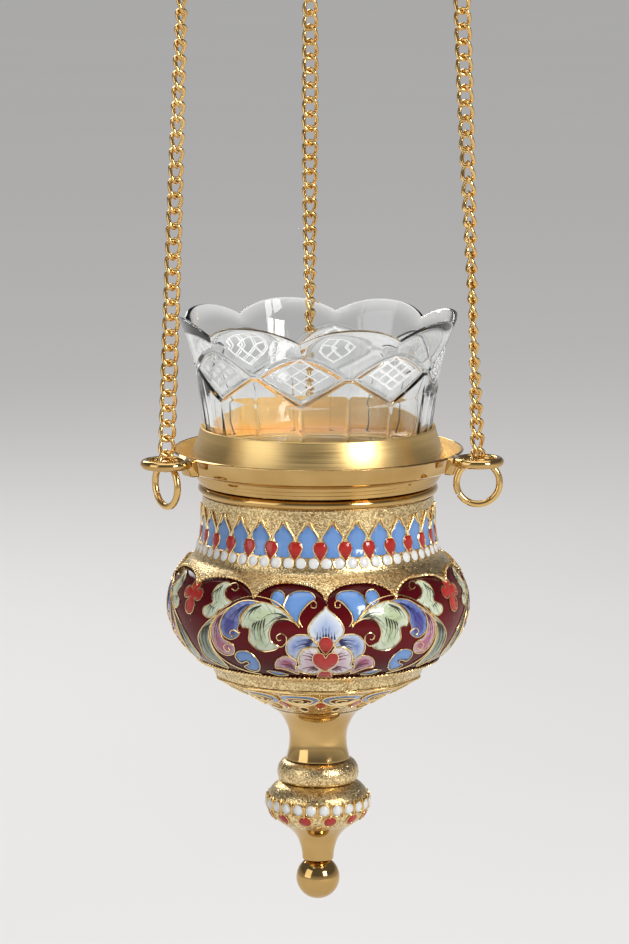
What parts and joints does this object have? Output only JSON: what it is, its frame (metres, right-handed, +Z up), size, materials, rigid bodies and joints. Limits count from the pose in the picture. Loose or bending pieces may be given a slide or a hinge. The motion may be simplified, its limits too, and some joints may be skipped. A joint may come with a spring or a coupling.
{
  "type": "vigil lamp",
  "caption": "Hanging vigil lamp with a cut glass cup in a gilt holder, an enamelled bowl and a turned drop, hung on curb chains.",
  "frame": {"origin": "the point inside the top of the hook's bend that bears on whatever holds the lamp up", "axes": "+Z up along the lamp's own axis; -Y is the front, where the enamel's main flower is; +X to the right seen from the front"},
  "size_m": [0.107, 0.1059, 0.3452],
  "materials": {
    "polished_gilt": "mirror polished gilt brass",
    "satin_gilt": "satin brushed gilt brass",
    "stippled_gilt": "fine stippled gilt brass",
    "chain_gilt": "bright gilt wire",
    "cut_crystal": "clear, with mitre and hatched cuts",
    "enamelled_gilt": "gilt brass with wire-bordered enamel on a burgundy ground",
    "plain_brass": "as turned, unplated"
  },
  "bodies": {
    "hook": {"hook": "polished_gilt", "hook_nut": "polished_gilt"},
    "hanger": {"hanger": "polished_gilt"},
    "top_ring_left": {"top_ring_left": "chain_gilt"},
    "top_ring_right": {"top_ring_right": "chain_gilt"},
    "top_ring_back": {"top_ring_back": "chain_gilt"},
    "chain_left": {"chain_left": "chain_gilt"},
    "chain_right": {"chain_right": "chain_gilt"},
    "chain_back": {"chain_back": "chain_gilt"},
    "split_ring_left": {"split_ring_left": "chain_gilt"},
    "lamp": {"carrier_ring": "polished_gilt", "collar": "satin_gilt", "rim_bead": "polished_gilt", "bowl": "enamelled_gilt", "base_plate": "stippled_gilt", "stem": "polished_gilt", "knop": "stippled_gilt", "finial_cap": "stippled_gilt", "finial_ball": "polished_gilt", "clamp_cup": "plain_brass", "tie_washer": "plain_brass", "tie_nut": "plain_brass", "tie_rod": "plain_brass", "lug_left": "polished_gilt", "lug_right": "polished_gilt", "lug_back": "polished_gilt", "split_ring_right": "chain_gilt", "split_ring_back": "chain_gilt"},
    "glass": {"glass_cup": "cut_crystal"}
  },
  "joints": [
    {"name": "hanger_swivel", "type": "hinge", "parent": "hook", "child": "hanger", "pos_m": [0, 0, 0], "axis": [0, 0, 1], "continuous": true},
    {"name": "top_ring_left_tilt", "type": "hinge", "parent": "hanger", "child": "top_ring_left", "pos_m": [-0.03892, -0.02508, -0.054], "axis": [-0.5417, 0.8406, 0], "range_deg": [-5, 5]},
    {"name": "chain_left_swing", "type": "hinge", "parent": "top_ring_left", "child": "chain_left", "pos_m": [-0.03913, -0.02522, -0.05949], "axis": [0.8406, 0.5417, 0], "range_deg": [-5, 5]},
    {"name": "top_ring_right_tilt", "type": "hinge", "parent": "hanger", "child": "top_ring_right", "pos_m": [0.04119, -0.02117, -0.054], "axis": [-0.5417, 0.8406, 0], "range_deg": [-5, 5]},
    {"name": "chain_right_swing", "type": "hinge", "parent": "top_ring_right", "child": "chain_right", "pos_m": [0.0414, -0.02128, -0.05949], "axis": [0.8406, 0.5417, 0], "range_deg": [-5, 5]},
    {"name": "top_ring_back_tilt", "type": "hinge", "parent": "hanger", "child": "top_ring_back", "pos_m": [-0.00226, 0.04625, -0.054], "axis": [-0.5417, 0.8406, 0], "range_deg": [-5, 5]},
    {"name": "chain_back_swing", "type": "hinge", "parent": "top_ring_back", "child": "chain_back", "pos_m": [-0.00227, 0.0465, -0.05949], "axis": [0.8406, 0.5417, 0], "range_deg": [-5, 5]},
    {"name": "split_ring_left_turn", "type": "hinge", "parent": "chain_left", "child": "split_ring_left", "pos_m": [-0.04455, -0.02871, -0.2037], "axis": [0.8406, 0.5417, 0], "range_deg": [-5, 5]},
    {"name": "lamp_tilt", "type": "hinge", "parent": "split_ring_left", "child": "lamp", "pos_m": [-0.04455, -0.02871, -0.2037], "axis": [-0.5417, 0.8406, 0], "range_deg": [-5, 5]},
    {"name": "glass_lift", "type": "slide", "parent": "lamp", "child": "glass", "axis": [0, 0, 1], "range_m": [0, 0.018]}
  ],
  "couplings": [
    {"joint": "top_ring_right_tilt", "follows": "top_ring_left_tilt", "ratio": 1},
    {"joint": "chain_right_swing", "follows": "chain_left_swing", "ratio": 1},
    {"joint": "top_ring_back_tilt", "follows": "top_ring_left_tilt", "ratio": 1},
    {"joint": "chain_back_swing", "follows": "chain_left_swing", "ratio": 1},
    {"joint": "split_ring_left_turn", "follows": "chain_left_swing", "ratio": -0.8783},
    {"joint": "lamp_tilt", "follows": "top_ring_left_tilt", "ratio": -0.8737}
  ]
}
